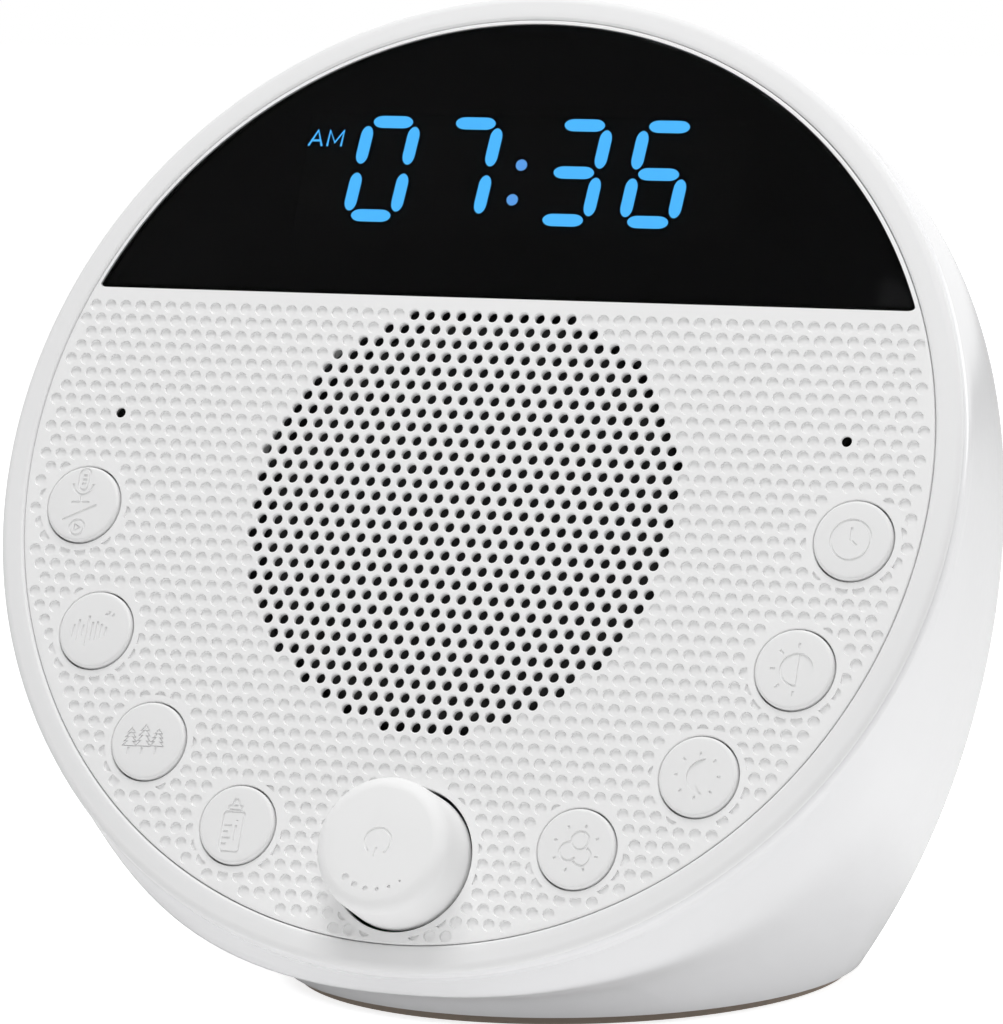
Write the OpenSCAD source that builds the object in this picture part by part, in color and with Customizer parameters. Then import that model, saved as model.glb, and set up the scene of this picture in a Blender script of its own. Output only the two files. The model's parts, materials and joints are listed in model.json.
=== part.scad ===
// White noise sound machine: a round face that leans back on a blown-looking body.
// Millimetres. Z is up, the face looks towards -Y, the origin is the middle of the foot.
// Pieces of the face are drawn in the face's own frame: X right, Y up the face, Z outwards.

/* [Face] */
// How far the face leans back, in degrees
lean_angle = 24; // [18:1:32]
// Height of the face's centre above the table
face_height = 70.8; // [68:0.2:80]
// Radius of the bezel ring
bezel_radius = 66.2; // [64:0.2:72]
// Width of the bezel ring's front
bezel_width = 3.7; // [3:0.1:6]
// Depth of the bezel ring from the face to its seam with the housing
bezel_depth = 1; // [0.9:0.1:2]
// Thickness of the grille panel
panel_wall = 2.4; // [1.8:0.1:3]
// Gap between the panel and the bezel
panel_gap = 0.1; // [0.05:0.01:0.3]

/* [Grille] */
// Distance between neighbouring holes
hole_pitch = 2.2; // [1.8:0.1:3]
// Radius of a grille hole
hole_radius = 0.65; // [0.4:0.02:0.8]
// Thickness of the panel where its holes are
grille_wall = 1.1; // [1:0.1:1.7]
// How far the field of holes stays inside the speaker's frame
field_inset = 4.4; // [4.4:0.1:10]
// How far the speaker sits below the face's centre
speaker_drop = 5.7; // [3:0.1:8]

/* [Display] */
// From the bezel's outside down to the display's straight edge
lens_inset = 42.7; // [38:0.1:48]
// Thickness of the display lens
lens_wall = 1.2; // [1:0.1:2]
// Radius of the lens's two corners
lens_corner = 0.9; // [0.5:0.1:3]
// Height of a digit between the middles of its top and bottom bars
digit_height = 13.2; // [10:0.1:16]
// Width of a digit between the middles of its side bars
digit_width = 6.7; // [5:0.1:8]
// Width of a bar of a digit
bar_width = 1.65; // [1.2:0.05:2.4]
// Slant of the digits, in degrees
digit_slant = 4; // [0:0.5:10]

/* [Buttons] */
// From the bezel's outside to the circle that the buttons sit on
button_inset = 12.3; // [11.4:0.1:16]
// Radius of a button's cap
button_radius = 5.15; // [4:0.05:5.6]
// Gap round a cap
button_gap = 0.2; // [0.1:0.05:0.4]
// How far a cap stands proud of the panel
button_rise = 0.5; // [0.2:0.1:1.2]
// How far a button travels
button_travel = 0.5; // [0.3:0.1:0.8]
// Angle from the knob to the first button, in degrees
first_button = 25.6; // [22:0.2:30]
// Angle between neighbouring buttons, in degrees
button_step = 19; // [16:0.2:20]

/* [Knob] */
// Radius of the volume knob
knob_radius = 9.1; // [7:0.1:10]
// Height of the knob above the panel
knob_height = 7.7; // [5:0.1:12]
// From the bezel's outside to the knob's axis
knob_inset = 14.8; // [14.4:0.1:20]
// Gap round the knob's foot
knob_gap = 0.4; // [0.2:0.05:0.8]
// Radius of the encoder's shaft
shaft_radius = 3; // [2:0.1:3.5]

/* [Housing] */
// Length of the housing's straight collar behind the bezel, before it swells
collar_length = 2.6; // [1.6:0.1:4]
// Wall of the housing
shell_wall = 2.4; // [1.6:0.1:3.5]
// Half the width of the housing at its foot
foot_half_width = 38.5; // [34:0.1:46]
// Distance from the hinge line to the front of the foot
foot_front = 21.2; // [17:0.1:28]
// Distance from the hinge line to the back of the foot
foot_back = 108; // [98:0.5:118]
// How far the back swells past the bezel's top, a third of the way down
back_swell = 6.6; // [0:0.2:12]
// How far the back falls short of the bezel's top, two thirds of the way down
haunch_drop = 4.4; // [-2:0.2:10]
// How much narrower than the bezel each side is, a third of the way down
shoulder_inset = 4.4; // [-2:0.1:8]
// How much narrower than the bezel each side is, two thirds of the way down
waist_inset = 11.2; // [6:0.1:16]
// Reach of the front under the bezel, a third of the way down
chin_reach = 5; // [4:0.1:8]
// Reach of the front, two thirds of the way down
throat_reach = 10; // [8:0.1:14]
// How much fuller than an ellipse the housing's middle ovals are
fullness = 0.3; // [0:0.05:0.8]
// Wall of the base plate
base_wall = 2; // [1.6:0.1:3]
// Thickness of the foot pad
pad_wall = 1.2; // [0.8:0.1:2]
// How far the foot pad sits inside the foot's outline
pad_inset = 1.5; // [0.8:0.1:2.2]

/* [Speaker] */
// From the bezel's outside to the speaker's frame
speaker_inset = 32.2; // [31.6:0.1:36]
// Radius of the magnet
magnet_radius = 16; // [12:0.5:20]
// Depth of the speaker behind its flange
speaker_depth = 24; // [20:0.5:30]

/* [Hidden] */
$fn = 64;
buttons = ["record", "nature", "forest", "lullaby", "colour", "night", "dimmer", "timer"];

// Places and depths in the face's frame
lens_edge = bezel_radius - lens_inset;
button_ring = bezel_radius - button_inset;
knob_offset = bezel_radius - knob_inset;
speaker_radius = bezel_radius - speaker_inset;
speaker_field = speaker_radius - field_inset;
lens_back = -lens_wall;
mask_wall = 0.2;
module_front = lens_back - mask_wall;
panel_back = -panel_wall;
panel_radius = bezel_radius - bezel_width - panel_gap;
ledge = 1.3;
ledge_radius = panel_radius - ledge;
bezel_lip = 0.35;
bezel_soft = 0.7;
bezel_step = 0.3;
spigot_gap = 0.5;
spigot_length = 5;
fit = 0.05;

// Display
lens_radius = panel_radius - 0.5;
lens_gap = 0.08;
window_ledge = 2.2;
window_radius = lens_radius - window_ledge;
digit_middle = lens_edge + 0.47 * (lens_radius - lens_edge);
digits_x = -0.18;
module_half_width = 31.5;
module_half_height = (digit_height + bar_width) / 2 + 1.1;
module_depth = 7;
digit_spacing = 11.8;
colon_gap = 15.4;
colon_radius = 0.46 * bar_width;
colon_dots = [[-0.28, -3.95], [0.2, 0.9]];
board_wall = 1.6;
display_post_x = module_half_width + 6.5;
display_post_y = lens_edge - 2.6;

// Buttons, from the front backwards
flange_radius = button_radius + 0.9;
flange_wall = 0.9;
flange_gap = 0.1;
flange_back = panel_back - flange_gap - flange_wall;
stem_radius = 1.25;
switch_size = 6;
switch_height = 3.1;
button_board_front = flange_back - button_travel - 5.2;
switch_top = button_board_front + switch_height;
cap_post_radius = 1.9;
cap_post_back = switch_top + button_travel + 0.3;
stem_engagement = 0.8;
button_board_inner = button_ring - 8.9;
button_board_outer = ledge_radius - 1.5;
button_board_top = -1;
post_radius = 2.2;
pilot_radius = 0.85;
screw_radius = 0.8;
post_ring = button_ring - 3.5;
post_angles = [for (side = [-1, 1]) for (k = [0.5, 2.5]) side * (first_button + k * button_step)];

// Knob and encoder
knob_hole = knob_radius + knob_gap;
knob_foot = -1.2;
encoder_size = 12;
encoder_height = 4.6;
encoder_top = button_board_front + encoder_height;
bush_radius = shaft_radius + 0.6;
bush_top = knob_foot - button_travel - 0.4;
plunger_wall = 1;
plunger_top = encoder_top - 1.5;
shaft_tip = knob_height - 2.6;
knob_top_radius = knob_radius - 0.2;

// Speaker, in the face's frame
pocket_radius = speaker_field + hole_radius + 0.2;
gasket_wall = 1;
gasket_width = speaker_radius - pocket_radius - 0.1;
flange_plane = panel_back - gasket_wall;
speaker_flange = 1.2;
speaker_hole_ring = speaker_radius + 2;
speaker_screw_angles = [45, 135, 225, 315];
surround_plane = flange_plane - 1.6;
basket_radius = speaker_radius - 3.6;
surround_roll = 2.4;
surround_middle = basket_radius - 1.8 - surround_roll;
coil_radius = 7;
magnet_wall = 9;
ear_radius = 2.6;

// Housing. Its loft starts behind the collar, in the plane that cuts the table at the hinge line.
loft_depth = bezel_depth + collar_length;
collar_soft = 0.6;
seam_drop = (face_height - loft_depth * sin(lean_angle) - pad_wall) / cos(lean_angle);
turn = 90 - lean_angle;
foot_middle = (foot_front + foot_back) / 2;
hinge_y = -foot_middle;
face_y = hinge_y + seam_drop * sin(lean_angle) - loft_depth * cos(lean_angle);
top_reach = seam_drop + bezel_radius;
rings = 18;
ring_points = 72;

// Base
plate_gap = 0.3;
base_top = pad_wall + base_wall;
post_wall = 3;
base_post_length = 9;
rim_wall = 2.4;
rim_width = 9;
head_radius = 2.2;
head_sink = 1.3;
main_board_height = base_top + 6;
main_board_half = 18;
main_board_front = -8;
main_board_back = 27;
tongue_half = 6;
board_post_inset = 3.2;
column_y = 14;
column_radius = 5;
column_top = 58;
light_board_radius = 15;
socket_length = 7.3;
socket_radius = 1.6;
socket_recess = 0.6;
socket_middle = main_board_height + board_wall + socket_radius;

// Microphones
capsule_radius = 3;
boot_depth = 5;
microphone_x = bezel_radius - 15.6;
microphone_y = 6;

// Value of a cubic Bezier curve at s
function bezier(v, s) =
    v[0] * pow(1 - s, 3) + 3 * v[1] * s * pow(1 - s, 2) + 3 * v[2] * s * s * (1 - s) + v[3] * pow(s, 3);
function reach_back(s) =
    bezier([top_reach, top_reach + back_swell, top_reach - haunch_drop, foot_back], s);
function reach_front(s) = bezier([seam_drop - bezel_radius, chin_reach, throat_reach, foot_front], s);
function half_width(s) =
    bezier([bezel_radius, bezel_radius - shoulder_inset, bezel_radius - waist_inset, foot_half_width], s);

// One oval of the housing, in the plane that is turned by s of the way from the face to the foot
// about the line where the seam's plane meets the table. inset draws the wall's inner side.
function oval(s, inset) = [
    for (k = [0 : ring_points - 1])
        let (
            a = 360 * k / ring_points,
            far = reach_back(s) - inset,
            near = reach_front(s) + inset,
            power = 2 / (2 + fullness * 4 * s * (1 - s)),
            r = (far + near) / 2 + (far - near) / 2 * rounded(sin(a), power),
            tilt = lean_angle + s * turn
        )
        [
            (half_width(s) - inset) * rounded(cos(a), power),
            hinge_y + r * sin(tilt),
            pad_wall + r * cos(tilt)
        ]
];
function rounded(value, power) = sign(value) * pow(abs(value), power);

// One round section of the collar, a way in front of the loft's first oval
function collar(reach, inset) =
    [for (p = oval(0, inset)) p + reach * [0, -cos(lean_angle), sin(lean_angle)]];

// Outline of the housing's foot, seen from above
function foot_outline(inset) = [for (p = oval(1, inset)) [p[0], p[1]]];

// Where the back wall's outer face is at the power socket's height, on the middle plane
back_profile = [
    for (i = [rings * 4 : -1 : 0])
        let (s = i / rings / 4, tilt = lean_angle + s * turn)
        [pad_wall + reach_back(s) * cos(tilt), hinge_y + reach_back(s) * sin(tilt)]
];
socket_mouth = lookup(socket_middle, back_profile) - socket_recess;
tongue_back = socket_mouth - 4.4;
base_screw_places = [
    for (a = [35, 145, 200, 340]) foot_outline(rim_width - post_wall)[round(a / 360 * ring_points)]
];
board_posts = [
    for (x = [-1, 1]) for (y = [main_board_front + board_post_inset, main_board_back - board_post_inset])
        [x * (main_board_half - board_post_inset), y]
];

// Places on the face
function on_ring(angle, radius) = [radius * sin(angle), -radius * cos(angle)];
function button_angle(k) =
    k < 4 ? -(first_button + (3 - k) * button_step) : first_button + (k - 4) * button_step;
function button_place(k) = on_ring(button_angle(k), button_ring);
knob_place = [0, -knob_offset];
speaker_place = [0, -speaker_drop];
microphone_places = [for (side = [-1, 1]) [side * microphone_x, microphone_y]];

// The grille's lattice: rows a pitch apart along X, every other row shifted by half a pitch
row_height = hole_pitch * sqrt(3) / 2;
top_row = floor((lens_edge - 2 * hole_radius - 0.6) / row_height);
last_row = ceil(panel_radius / row_height);
lattice = [
    for (row = [-last_row : top_row])
        for (column = [-last_row : last_row])
            [hole_pitch * (column + (row % 2 == 0 ? 0.5 : 0)), row * row_height]
];
holes = [for (p = lattice) if (norm(p - speaker_place) < speaker_field) p];

module on_face() {
    translate([0, face_y, face_height]) rotate([turn, 0, 0]) children();
}

module at(place, depth = 0) {
    translate([place[0], place[1], depth]) children();
}

// A tube or disc between two depths
module ring(outer, inner, low, high) {
    rotate_extrude() polygon([[inner, low], [outer, low], [outer, high], [inner, high]]);
}

// Circle segment above the straight edge, with its two corners rounded
module lens_shape(radius, edge, corner) {
    cy = edge + corner;
    cx = sqrt(pow(radius - corner, 2) - cy * cy);
    tip = [cx, cy] * 1.2 * radius / norm([cx, cy]);
    intersection() {
        circle(radius);
        polygon([[-cx, edge], [cx, edge], [cx, cy], tip, [tip[0], radius], [-tip[0], radius],
                 [-tip[0], tip[1]], [-cx, cy]]);
    }
    for (side = [-1, 1]) translate([side * cx, cy]) circle(corner);
}

module front_bezel() {
    outer = bezel_radius - bezel_step;
    inner = panel_radius + panel_gap;
    spigot = bezel_radius - shell_wall - spigot_gap;
    back = -bezel_depth - spigot_length;
    soft = bezel_soft;
    color("whitesmoke") on_face() rotate_extrude() polygon(concat(
        [[ledge_radius, back], [spigot, back], [spigot, -bezel_depth]],
        [[outer, -bezel_depth], [outer, -soft - 0.15]],
        [for (a = [15 : 15 : 75]) [outer - soft + soft * cos(a), -soft - 0.15 + soft * sin(a)]],
        [[outer - soft - 0.3, -0.1], [inner + 0.9, bezel_lip], [inner + 0.3, bezel_lip], [inner, 0]],
        [[inner, panel_back], [ledge_radius, panel_back]]
    ));
}

module panel_outline() {
    difference() {
        circle(panel_radius);
        lens_shape(window_radius, lens_edge + window_ledge, lens_corner);
        for (p = holes) translate(p) circle(hole_radius, $fn = 16);
        for (k = [0 : len(buttons) - 1]) translate(button_place(k)) circle(button_radius + button_gap);
        translate(knob_place) circle(knob_hole);
        for (p = microphone_places) translate(p) circle(hole_radius);
    }
}

module grille_panel() {
    color("whitesmoke") on_face() {
        difference() {
            translate([0, 0, panel_back]) linear_extrude(panel_wall) panel_outline();
            translate([0, 0, lens_back]) linear_extrude(lens_wall + 1)
                lens_shape(lens_radius, lens_edge, lens_corner);
            speaker_pocket();
        }
        for (a = post_angles) at(on_ring(a, post_ring))
            ring(post_radius, pilot_radius, button_board_front, panel_back + 0.2);
        for (side = [-1, 1]) at([side * display_post_x, display_post_y])
            ring(post_radius, pilot_radius, panel_back - module_depth, panel_back + 0.2);
        for (a = speaker_screw_angles) at(speaker_place + on_ring(a, speaker_hole_ring))
            ring(post_radius, pilot_radius, flange_plane, panel_back + 0.2);
    }
}

// The hollow behind the holes, which leaves the panel thin there but not under the lens
module speaker_pocket() {
    at(speaker_place) difference() {
        ring(pocket_radius, 0, panel_back - 1, -grille_wall);
        translate([-pocket_radius, lens_edge - 1 + speaker_drop, panel_back - 2])
            cube([2 * pocket_radius, pocket_radius, panel_wall + 2]);
    }
}

module display_lens() {
    color("black") on_face() translate([0, 0, lens_back]) linear_extrude(lens_wall)
        lens_shape(lens_radius - lens_gap, lens_edge + lens_gap, lens_corner);
}

module lens_mask() {
    color("black") on_face() translate([0, 0, module_front]) linear_extrude(mask_wall) difference() {
        lens_shape(window_radius - lens_gap, lens_edge + window_ledge + lens_gap, lens_corner);
        module_outline(0.5);
    }
}

module display_module() {
    color("black") on_face() translate([0, 0, panel_back - module_depth])
        linear_extrude(module_front - panel_back + module_depth) module_outline(0);
}

// Outline of the display module, which stays inside the panel's round window
module module_outline(inset) {
    intersection() {
        translate([0, digit_middle])
            square([2 * (module_half_width - inset), 2 * (module_half_height - inset)], center = true);
        circle(window_radius - 0.4 - inset);
    }
}

// A bar of a digit, lying along X, with long round tips
module bar(length) {
    tip = 0.8 * bar_width;
    polygon([
        for (side = [1, -1]) for (a = [-90 : 15 : 90])
            side * [length / 2 - tip + tip * cos(a), bar_width / 2 * sin(a)]
    ]);
}

// A seven bar digit. lit holds top, top right, bottom right, bottom, bottom left, top left, middle.
module digit(lit) {
    half = digit_height / 2;
    across = digit_width - bar_width * 0.68;
    along = half - bar_width * 0.8;
    slide = half * tan(digit_slant);
    wide = digit_width / 2;
    bars = [[slide, half, 0], [wide + slide / 2, half / 2, 90], [wide - slide / 2, -half / 2, 90],
            [-slide, -half, 0], [-wide - slide / 2, -half / 2, 90],
            [-wide + slide / 2, half / 2, 90], [0, 0, 0]];
    for (k = [0 : 6]) if (lit[k] == 1)
        translate([bars[k][0], bars[k][1]]) rotate(bars[k][2] == 0 ? 0 : 90 - digit_slant)
            bar(bars[k][2] == 0 ? across : along);
}

module lit_segments() {
    zero = [1, 1, 1, 1, 1, 1, 0];
    seven = [1, 1, 1, 0, 0, 0, 0];
    three = [1, 1, 1, 1, 0, 0, 1];
    six = [1, 0, 1, 1, 1, 1, 1];
    near = colon_gap / 2;
    far = near + digit_spacing;
    places = [-far, -near, near, far];
    shown = [zero, seven, three, six];
    color("deepskyblue") on_face() translate([digits_x, digit_middle, module_front])
        linear_extrude(mask_wall - 0.02) {
            for (k = [0 : 3]) translate([places[k], 0]) digit(shown[k]);
            for (p = colon_dots) translate(p) circle(colon_radius, $fn = 24);
        }
}

module display_board() {
    low = display_post_y - 3;
    half = display_post_x + 3;
    color("darkgreen") on_face() translate([0, 0, panel_back - module_depth - board_wall])
        linear_extrude(board_wall) difference() {
            intersection() {
                translate([-half, low]) square([2 * half, digit_middle + module_half_height - low]);
                circle(button_board_outer);
            }
            translate(speaker_place) circle(basket_radius + 1);
            for (side = [-1, 1]) translate([side * display_post_x, display_post_y])
                circle(screw_radius + 0.3);
        }
}

// A pan head screw whose head's underside lies at z = 0 and whose shank runs up
module screw(length, head = 1.9) {
    rotate_extrude() polygon([[0, -1.2], [head * 0.7, -1.2], [head, -0.6], [head, 0],
                              [screw_radius, 0], [screw_radius, length], [0, length]]);
}

module display_screws() {
    color("silver") on_face() for (side = [-1, 1])
        at([side * display_post_x, display_post_y], panel_back - module_depth - board_wall) screw(6);
}

// Closed form of the collar and the loft. over carries its foot past the end and more its mouth,
// and soft rounds the mouth's edge.
module housing_form(inset, over, more, soft) {
    n = ring_points;
    mouth = collar_length + more;
    sections = concat(
        [for (a = [0 : 30 : 60]) if (soft > 0)
            collar(mouth - soft * (1 - cos(a)), inset + soft * (1 - sin(a)))],
        [collar(mouth - soft, inset)],
        [for (i = [0 : rings - 1]) oval(i / rings, inset)],
        [oval(1 + over, inset)]
    );
    last = len(sections) - 1;
    polyhedron(
        points = [for (section = sections) each section],
        faces = concat(
            [[for (k = [0 : n - 1]) n - 1 - k]],
            [for (i = [0 : last - 1]) for (k = [0 : n - 1]) each [
                [i * n + k, i * n + (k + 1) % n, (i + 1) * n + (k + 1) % n],
                [i * n + k, (i + 1) * n + (k + 1) % n, (i + 1) * n + k]
            ]],
            [[for (k = [0 : n - 1]) last * n + k]]
        ),
        convexity = 4
    );
}

module rear_housing() {
    color("white") difference() {
        housing_form(0, 0, 0, collar_soft);
        difference() {
            housing_form(shell_wall, 0.02, 1, 0);
            translate([0, 0, base_top]) linear_extrude(rim_wall) difference() {
                polygon(foot_outline(-rim_width));
                polygon(foot_outline(rim_width));
            }
            for (p = base_screw_places) at(p, base_top) cylinder(h = base_post_length, r = post_wall);
        }
        for (p = base_screw_places) at(p, base_top - 1)
            cylinder(h = base_post_length - 1, r = pilot_radius);
        socket_hole();
    }
}

// The way through the housing's wall for the power plug
module socket_hole() {
    translate([0, socket_mouth - socket_length, socket_middle]) rotate([-90, 0, 0])
        linear_extrude(3 * socket_length) socket_shape(0.3);
}

module socket_shape(gap) {
    straight = 5.6;
    square([straight, 2 * (socket_radius + gap)], center = true);
    for (side = [-1, 1]) translate([side * straight / 2, 0]) circle(socket_radius + gap);
}

module base_plate() {
    color("whitesmoke") difference() {
        union() {
            translate([0, 0, pad_wall]) linear_extrude(base_wall)
                polygon(foot_outline(shell_wall + plate_gap));
            for (p = board_posts) at(p) ring(post_wall, pilot_radius, base_top - 0.2, main_board_height);
        }
        for (p = base_screw_places) at(p, -1) {
            cylinder(h = base_top + 2, r = screw_radius + 0.3);
            cylinder(h = pad_wall + 1 + head_sink, r = head_radius + 0.2);
        }
    }
}

module base_screws() {
    color("silver") for (p = base_screw_places) at(p, pad_wall + head_sink) screw(7, head_radius);
}

module foot_pad() {
    color("tan") linear_extrude(pad_wall) polygon(foot_outline(pad_inset));
}

// The speaker, each piece turned about its own axis
module on_speaker() {
    on_face() at(speaker_place) children();
}

module speaker_gasket() {
    color("dimgray") on_speaker() difference() {
        ring(speaker_radius, speaker_radius - gasket_width, flange_plane, panel_back);
        for (a = speaker_screw_angles) at(on_ring(a, speaker_hole_ring), flange_plane - 1)
            cylinder(h = gasket_wall + 2, r = post_radius + 0.2);
    }
}

module speaker_frame() {
    back = flange_plane - speaker_depth + magnet_wall;
    wide = basket_radius;
    neck = magnet_radius - 1.5;
    throat = coil_radius + 1.2;
    color("silver") on_speaker() difference() {
        union() {
            rotate_extrude() polygon([
                [wide - 1, flange_plane], [speaker_radius, flange_plane],
                [speaker_radius, flange_plane - speaker_flange], [wide, flange_plane - speaker_flange],
                [wide - 1.5, flange_plane - 7], [neck, back], [throat, back], [throat, back + 1],
                [neck - 0.6, back + 1], [wide - 2.5, flange_plane - 6.6]]);
            for (a = speaker_screw_angles) at(on_ring(a, speaker_hole_ring), flange_plane - speaker_flange)
                cylinder(h = speaker_flange, r = ear_radius);
        }
        for (a = speaker_screw_angles) at(on_ring(a, speaker_hole_ring), flange_plane - 3)
            cylinder(h = 4, r = screw_radius + 0.3);
        for (a = [0 : 60 : 300]) rotate([0, 0, a]) translate([17, -4, back + 2.2])
            cube([wide - 18, 8, 5.2]);
    }
}

module speaker_surround() {
    middle = surround_middle;
    roll = surround_roll;
    color("dimgray") on_speaker() rotate_extrude() difference() {
        union() {
            translate([middle, surround_plane]) circle(roll);
            translate([middle - roll - 1, surround_plane - 0.4]) square([2 * roll + 1, 0.8]);
        }
        translate([middle, surround_plane]) circle(roll - 0.5);
        translate([middle - roll - 2, surround_plane - roll - 1]) square([2 * roll + 4, roll + 0.6]);
    }
}

module speaker_cone() {
    rim = surround_middle - surround_roll - 0.9;
    low = surround_plane - 10;
    color("#202022") on_speaker() rotate_extrude() polygon([
        [rim, surround_plane - 0.4], [rim + 0.9, surround_plane - 0.4], [rim + 0.9, surround_plane - 1],
        [rim, surround_plane - 1.2], [coil_radius + 0.6, low], [coil_radius + 0.6, low - 4],
        [coil_radius, low - 4], [coil_radius, low + 0.6]]);
}

module dust_cap() {
    low = surround_plane - 10;
    bulge = 14;
    drop = sqrt(bulge * bulge - coil_radius * coil_radius);
    color("#202022") on_speaker() translate([0, 0, low + 0.65]) intersection() {
        translate([0, 0, -drop]) difference() {
            sphere(bulge);
            sphere(bulge - 0.5);
        }
        cylinder(h = bulge, r = coil_radius);
    }
}

module speaker_magnet() {
    back = flange_plane - speaker_depth;
    seat = back + magnet_wall;
    color("#3a3a3d") on_speaker() {
        ring(magnet_radius, coil_radius + 2.5, back + 2.5, seat);
        ring(magnet_radius - 1, 0, back, back + 2.5);
        ring(coil_radius - 0.9, 0, back + 2.4, seat - 1);
    }
}

module speaker_screws() {
    color("silver") on_speaker() for (a = speaker_screw_angles)
        at(on_ring(a, speaker_hole_ring), flange_plane - speaker_flange)
            screw(speaker_flange + gasket_wall - 0.2, 1.7);
}

module button_board() {
    color("darkgreen") on_face() translate([0, 0, button_board_front - board_wall])
        linear_extrude(board_wall) difference() {
            circle(button_board_outer);
            circle(button_board_inner);
            translate([-panel_radius, button_board_top]) square(2 * panel_radius);
            for (a = post_angles) translate(on_ring(a, post_ring)) circle(screw_radius + 0.3);
        }
}

module tact_switches() {
    body = switch_size / 2;
    well = stem_radius + fit;
    color("#2c2c2e") on_face() for (k = [0 : len(buttons) - 1]) at(button_place(k)) difference() {
        rotate([0, 0, button_angle(k)]) translate([-body, -body, button_board_front])
            cube([switch_size, switch_size, switch_height]);
        translate([0, 0, button_board_front + 0.6]) cylinder(h = switch_height, r = well);
    }
}

module board_screws() {
    color("silver") on_face() for (a = post_angles)
        at(on_ring(a, post_ring), button_board_front - board_wall) screw(board_wall + 3);
}

// A button's cap with the flange that keeps it behind the panel
module cap() {
    soft = 0.45;
    rotate_extrude() polygon(concat(
        [[0, flange_back], [flange_radius, flange_back], [flange_radius, flange_back + flange_wall]],
        [[button_radius, flange_back + flange_wall]],
        [for (a = [0 : 15 : 90]) [button_radius - soft + soft * cos(a), button_rise - soft + soft * sin(a)]],
        [[0, button_rise]]
    ));
    ring(cap_post_radius, 0, cap_post_back, flange_back + 0.1);
}

module button(k) {
    color("whitesmoke") on_face() at(button_place(k)) cap();
}

// A tact switch's plunger, which stands in its switch and carries the cap
module stem(k) {
    color("ivory") on_face() at(button_place(k))
        ring(stem_radius, 0, switch_top - stem_engagement, cap_post_back);
}

module encoder_body() {
    color("#4a4b50") on_face() at(knob_place) difference() {
        union() {
            translate([-encoder_size / 2, -encoder_size / 2, button_board_front])
                cube([encoder_size, encoder_size, encoder_height]);
            ring(bush_radius, 0, encoder_top - 0.2, bush_top);
        }
        translate([0, 0, button_board_front + 0.7])
            cylinder(h = bush_top - button_board_front, r = shaft_radius + fit);
    }
}

module encoder_plunger() {
    color("ivory") on_face() at(knob_place)
        ring(shaft_radius, 0, plunger_top - plunger_wall, plunger_top);
}

module encoder_shaft() {
    flat = shaft_radius * 0.5;
    color("gainsboro") on_face() at(knob_place) difference() {
        ring(shaft_radius, 0, plunger_top, shaft_tip);
        translate([flat, -shaft_radius, bush_top + 0.8])
            cube([shaft_radius, 2 * shaft_radius, shaft_tip - bush_top]);
    }
}

module volume_knob() {
    soft = 2;
    top = knob_height - soft;
    skirt = 1.6;
    ceiling = knob_height - 1.8;
    hub = shaft_radius + 1.8;
    color("whitesmoke") on_face() at(knob_place) difference() {
        rotate_extrude() polygon(concat(
            [[0, knob_foot], [knob_radius, knob_foot]],
            [for (a = [0 : 10 : 90]) [knob_top_radius - soft + soft * cos(a), top + soft * sin(a)]],
            [[0, knob_height]]
        ));
        ring(knob_top_radius - skirt, hub, knob_foot - 1, ceiling);
        difference() {
            translate([0, 0, knob_foot - 1])
                cylinder(h = shaft_tip - knob_foot + 1, r = shaft_radius + 0.02);
            translate([shaft_radius * 0.5 + 0.02, -shaft_radius * 1.5, bush_top + 0.8])
                cube([shaft_radius, 3 * shaft_radius, shaft_tip - bush_top]);
        }
    }
}

module microphones() {
    color("silver") on_face() for (p = microphone_places) at(p)
        ring(capsule_radius, 0, panel_back - boot_depth + 1, panel_back - 1);
}

module microphone_boots() {
    color("#2c2c2e") on_face() for (p = microphone_places) at(p) difference() {
        ring(capsule_radius + 1.1, 0, panel_back - boot_depth, panel_back);
        ring(capsule_radius, 0, panel_back - boot_depth - 1, panel_back - 1);
        translate([0, 0, panel_back - 2]) cylinder(h = 3, r = hole_radius + 0.4);
    }
}

module main_board() {
    color("darkgreen") translate([0, 0, main_board_height]) linear_extrude(board_wall) difference() {
        union() {
            translate([-main_board_half, main_board_front])
                square([2 * main_board_half, main_board_back - main_board_front]);
            translate([-tongue_half, main_board_back - 1])
                square([2 * tongue_half, tongue_back - main_board_back + 1]);
        }
        for (p = board_posts) translate(p) circle(screw_radius + 0.3);
    }
}

module main_board_parts() {
    middle = (main_board_front + main_board_back) / 2;
    color("#222225") translate([0, 0, main_board_height + board_wall]) {
        translate([4 - main_board_half, middle - 9.5, 0]) cube([7, 7, 1.2]);
        translate([main_board_half - 10.5, middle - 10.5, 0]) cube([6, 5, 1.5]);
        translate([3 - main_board_half, middle + 4.5, 0]) cube([8, 5.5, 4]);
        for (y = [2.5, 9.5]) translate([main_board_half - 7, middle + y, 0]) cylinder(h = 7, r = 2.5);
    }
}

module power_socket() {
    color("silver") translate([0, socket_mouth, socket_middle]) rotate([90, 0, 0]) difference() {
        linear_extrude(socket_length) socket_shape(0);
        translate([0, 0, -1]) linear_extrude(socket_length) difference() {
            socket_shape(-0.35);
            square([6.4, 0.7], center = true);
        }
    }
}

module main_board_screws() {
    color("silver") for (p = board_posts) at(p, main_board_height + board_wall) rotate([180, 0, 0])
        screw(board_wall + 3, 1.7);
}

module light_column() {
    color("white") translate([0, column_y, 0])
        ring(column_radius, column_radius - 1.5, main_board_height + board_wall, column_top);
}

module light_board() {
    color("white") translate([0, column_y, column_top]) linear_extrude(board_wall)
        circle(light_board_radius);
}

module light_leds() {
    color("lightyellow") translate([0, column_y, column_top + board_wall]) for (a = [0 : 45 : 315])
        rotate([0, 0, a]) translate([light_board_radius - 4, -1.75, 0]) cube([2.8, 3.5, 1.4]);
}

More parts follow.
